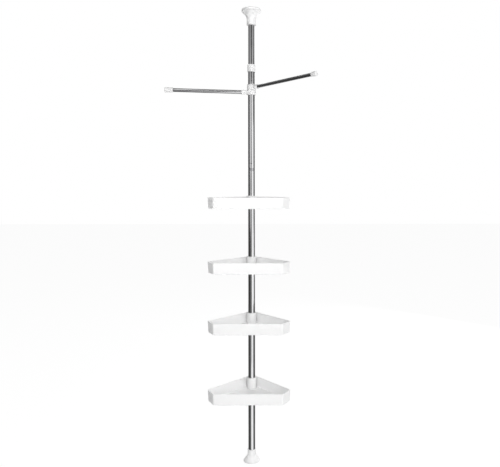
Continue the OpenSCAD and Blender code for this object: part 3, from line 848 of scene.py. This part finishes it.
def collar_profile(height, grip_from, grip_to):
    """Outside with eased edges, then the bore that closes on the collet's tapered fingers."""
    foot_ease = 0.7 * MM
    top_ease = 1.2 * MM
    fade = 0.6 * MM
    finger_room = FINGER_TOP + FINGER_GAP
    profile = [(COLLET_R + RUN_GAP, 0)] + arc(LOCK_R - foot_ease, foot_ease, foot_ease, -90, 0, 4)
    profile += [(LOCK_R, z) for z in (grip_from, grip_from + fade, grip_to - fade, grip_to)]
    profile += arc(LOCK_R - top_ease, height - top_ease, top_ease, 0, 90, 5)
    profile += [(COLLAR_MOUTH_R, height), (COLLAR_MOUTH_R, finger_room)]
    profile += [(COLLET_TIP_R, finger_room), (COLLET_TIP_R, FINGER_TOP)]
    return profile + [(COLLET_R, FINGER_FOOT), (COLLET_R + RUN_GAP, FINGER_FOOT)]


def lock_collar():
    """Collar of the twist lock, with grip flutes that fade out before its ends."""
    lo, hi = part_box("lock_collar")
    height = hi.z - lo.z
    grip_from, grip_to = 2.6 * MM, height - 3.2 * MM
    steps_per_flute = 18
    flute_steps = 3
    pitch = 2 * math.pi / LOCK_FLUTES
    bm = lathe(collar_profile(height, grip_from, grip_to), LOCK_FLUTES * steps_per_flute)
    for v in bm.verts:
        radius = v.co.xy.length
        if radius < LOCK_R - TOUCH or not grip_from + TOUCH < v.co.z < grip_to - TOUCH:
            continue
        angle = math.atan2(v.co.y, v.co.x)
        off = abs(angle / pitch - round(angle / pitch)) * steps_per_flute / flute_steps
        depth = FLUTE_DEPTH * max(0.0, 1 - off * off)
        v.co.x *= (radius - depth) / radius
        v.co.y *= (radius - depth) / radius
    piece("grip_collar", bm, "lock_collar", (0, 0, lo.z))


def lock_collet():
    """Collet whose lip below the collar has eased edges."""
    lip = rounded_copy("lock_collet", 0.5 * MM, segments=3, outside=LOCK_R * 0.99)
    piece("collet_with_lip", lip, "lock_collet")


# ---------- arm hub and arms ----------

def socket_blank(ring_h, socket_r):
    """Ring and the socket that grows out of it along +X, before the bores are cut."""
    ease = 0.9 * MM
    mouth = 0.8 * MM
    neck_r = min(socket_r, ring_h / 2) - 0.5 * MM
    neck_foot = HUB_RING_R / 2
    neck_end = HUB_RING_R + 0.5 * MM
    shoulder = HUB_RING_R + 2.5 * MM
    ring_profile = [(0, 0)] + arc(HUB_RING_R - ease, ease, ease, -90, 0, 4)
    ring_profile += arc(HUB_RING_R - ease, ring_h - ease, ease, 0, 90, 4) + [(0, ring_h)]
    socket_profile = [(0, neck_foot), (neck_r, neck_foot), (neck_r, neck_end), (socket_r, shoulder)]
    socket_profile += arc(socket_r - mouth, SOCKET_REACH - mouth, mouth, 0, 90, 4) + [(0, SOCKET_REACH)]
    socket = raised(laid_along_x(lathe(socket_profile)), ring_h / 2)
    return melted(combined(lathe(ring_profile), socket), voxel=0.45 * MM, rounds=5)


def eased_bore(radius, foot, top, open_foot=True):
    """Cutter for a round bore along Z whose open mouths are eased."""
    ease = 0.5 * MM
    profile = [(0, foot), (radius, foot)]
    if open_foot:
        profile = [(0, foot - ease), (radius + 2 * ease, foot - ease), (radius, foot + ease)]
    return lathe(profile + [(radius, top - ease), (radius + 2 * ease, top + ease), (0, top + ease)])


def arm_socket(node, ring_h, socket_r, bar_r, turn):
    lo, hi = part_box(node)
    hub_bore = eased_bore(HUB_SLEEVE_R + RUN_GAP, 0, ring_h)
    bar_bore = laid_along_x(eased_bore(bar_r + RUN_GAP, SOCKET_REACH - STUB, SOCKET_REACH, open_foot=False))
    bm = combined(socket_blank(ring_h, socket_r), hub_bore, "DIFFERENCE")
    bm = combined(bm, raised(bar_bore, ring_h / 2), "DIFFERENCE")
    middle = (lo.z + hi.z) / 2
    piece("moulded_" + node, bm, node, (0, 0, middle - ring_h / 2), (0, 0, math.radians(turn)))


def bar_cap(node, cap_r, length, bar_r, reach, turn):
    """End cap pushed over a bar: eased mouth, round nose and a faint dome."""
    nose = 2.2 * MM
    dome = 0.35 * MM
    mouth = 0.5 * MM
    bore_r = bar_r + RUN_GAP
    profile = [(bore_r, mouth), (bore_r + mouth / 2, 0)] + arc(cap_r - mouth, mouth, mouth, -90, 0, 3)
    profile += arc(cap_r - nose, length - dome - nose, nose, 0, 75, 6)
    profile += [(cap_r * share, length - dome * share * share) for share in (0.6, 0.4, 0.2, 0)]
    profile += [(0, length - CAP_FLOOR), (bore_r, length - CAP_FLOOR)]
    lo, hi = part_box(node)
    bm = laid_along_x(lathe(profile), reach - length)
    piece("rounded_" + node, bm, node, (0, 0, (lo.z + hi.z) / 2), (0, 0, math.radians(turn)))


def hub_and_arms():
    piece("split_hub_sleeve", rounded_copy("hub_sleeve", 0.3 * MM), "hub_sleeve")
    piece("hub_top_ring", rounded_copy("hub_cap", 0.3 * MM), "hub_cap")
    left_turn, right_turn = 180 + LEFT_ANGLE, -RIGHT_ANGLE
    arm_socket("left_arm_socket", LEFT_RING_H, LEFT_SOCKET_R, LEFT_BAR_R, left_turn)
    arm_socket("right_arm_socket", RIGHT_RING_H, RIGHT_SOCKET_R, RIGHT_BAR_R, right_turn)
    bar_cap("left_bar_cap", LEFT_CAP_R, LEFT_CAP_LEN, LEFT_BAR_R, LEFT_REACH, left_turn)
    bar_cap("right_bar_cap", RIGHT_CAP_R, RIGHT_CAP_LEN, RIGHT_BAR_R, RIGHT_REACH, right_turn)


# ---------- tray clips ----------

def clips():
    for side in ("front", "rear"):
        for i in range(1, len(TRAYS) + 1):
            node = f"clip_{side}_{i}"
            piece("eased_" + node, rounded_copy(node, 0.4 * MM, segments=3), node)


# ---------- stage ----------

def camera():
    data = bpy.data.cameras.new("camera")
    data.lens = CAMERA_LENS
    data.shift_x, data.shift_y = CAMERA_SHIFT
    obj = bpy.data.objects.new("camera", data)
    obj.location = CAMERA_PLACE
    obj.rotation_euler = (math.pi / 2, CAMERA_ROLL, 0)
    bpy.context.scene.collection.objects.link(obj)
    bpy.context.scene.camera = obj


def lamps():
    """Rectangular lamps that no reflection shows."""
    for name, (place, target, size, watts, spread) in LAMPS.items():
        data = bpy.data.lights.new(name, "AREA")
        data.shape = "RECTANGLE"
        data.spread = math.radians(spread)
        data.size, data.size_y = size
        data.energy = watts
        obj = bpy.data.objects.new(name, data)
        obj.location = place
        obj.rotation_euler = (Vector(target) - Vector(place)).to_track_quat("-Z", "Y").to_euler()
        obj.visible_glossy = False
        bpy.context.scene.collection.objects.link(obj)


def calculated(tree, operation, a, b):
    """Result of a Math node. a is a socket, and b a socket or a number."""
    node = tree.nodes.new("ShaderNodeMath")
    node.operation = operation
    tree.links.new(a, node.inputs[0])
    if isinstance(b, bpy.types.NodeSocket):
        tree.links.new(b, node.inputs[1])
    else:
        node.inputs[1].default_value = b
    return node.outputs[0]


def seen_white(tree, lit, share, strength):
    """What camera, mirror and glass rays see: share of plain white, and the rest as it is lit."""
    rays = tree.nodes.new("ShaderNodeLightPath").outputs
    seen = tree.nodes.new("ShaderNodeEmission")
    seen.inputs["Strength"].default_value = strength
    either = calculated(tree, "MAXIMUM", rays["Is Camera Ray"], rays["Is Glossy Ray"])
    either = calculated(tree, "MAXIMUM", either, rays["Is Transmission Ray"])
    mix = tree.nodes.new("ShaderNodeMixShader")
    tree.links.new(calculated(tree, "MULTIPLY", either, share), mix.inputs["Fac"])
    tree.links.new(lit, mix.inputs[1])
    tree.links.new(seen.outputs[0], mix.inputs[2])
    return mix.outputs[0]


def world(left, right):
    """Soft studio light all round, weaker from the left than from the right."""
    scene_world = bpy.data.worlds.new("world")
    scene_world.use_nodes = True
    bpy.context.scene.world = scene_world
    tree = scene_world.node_tree
    lit = tree.nodes["Background"]
    lit.inputs["Color"].default_value = (1, 1, 1, 1)
    way = tree.nodes.new("ShaderNodeTexCoord")
    split = tree.nodes.new("ShaderNodeSeparateXYZ")
    tree.links.new(way.outputs["Generated"], split.inputs[0])
    strength = stretched(tree, split.outputs["X"], (-1, 1), (left, right))
    tree.links.new(strength, lit.inputs["Strength"])
    seen = seen_white(tree, lit.outputs[0], share=1.0, strength=1.0)
    tree.links.new(seen, tree.nodes["World Output"].inputs["Surface"])


def floor(size=12):
    """Pale floor that fades into the white round it and keeps the caddy's shadow."""
    bm = bmesh.new()
    bm.faces.new(ring(bm, [(-size, -size), (size, -size), (size, size), (-size, size)], 0))
    obj = new_object("floor", bm)
    mat, tree, shader = new_material("floor")
    shader.inputs["Base Color"].default_value = (0.9, 0.9, 0.9, 1)
    shader.inputs["Roughness"].default_value = 0.9
    shader.inputs["Specular IOR Level"].default_value = 0.0
    seen = seen_white(tree, shader.outputs[0], share=0.88, strength=1.06)
    tree.links.new(seen, tree.nodes["Material Output"].inputs["Surface"])
    obj.data.materials.append(mat)


def flag(name, angles, ends, shade):
    """Curved card round the pole that only mirror rays see, between two (radius, height) ends."""
    first, last = angles
    steps = max(2, round((last - first) / FLAG_STEP))
    turns = [math.radians(first + (last - first) * i / steps) for i in range(steps + 1)]
    bm = bmesh.new()
    rows = [[bm.verts.new((r * math.sin(a), -r * math.cos(a), z)) for r, z in ends] for a in turns]
    for left, right in zip(rows, rows[1:]):
        bm.faces.new((left[0], right[0], right[1], left[1]))
    obj = new_object(name, bm)
    mat, tree, _ = new_material(name)
    paint = tree.nodes.new("ShaderNodeEmission")
    paint.inputs["Color"].default_value = (shade, shade, shade, 1)
    tree.links.new(paint.outputs[0], tree.nodes["Material Output"].inputs["Surface"])
    mat.cycles.emission_sampling = "NONE"
    obj.data.materials.append(mat)
    for kind in ("camera", "diffuse", "transmission", "volume_scatter", "shadow"):
        setattr(obj, "visible_" + kind, False)


def flags():
    for i, (angles, heights, shade) in enumerate(UPRIGHT_FLAGS):
        flag(f"flag_{i}", angles, [(FLAG_RADIUS, z) for z in heights], shade)
    for i, (angles, radii, shade) in enumerate(FLOOR_FLAGS):
        flag(f"floor_flag_{i}", angles, [(r, FLOOR_FLAG_Z) for r in radii], shade)
    flag("mast", MAST_ANGLES, [(MAST_RADIUS, z) for z in MAST_HEIGHTS], MAST_SHADE)
    for i, (angles, radii, shade) in enumerate(CANOPY_FLAGS):
        flag(f"canopy_{i}", angles, [(r, CANOPY_Z) for r in radii], shade)


dress_cad_nodes()
foot_cup()
foot_pad()
head_cup()
head_pad()
springs()
tubes()
lock_collar()
lock_collet()
hub_and_arms()
clips()
trays()

camera()
world(left=0.24, right=0.40)
floor()
lamps()
flags()

bpy.context.scene.view_settings.view_transform = "Standard"
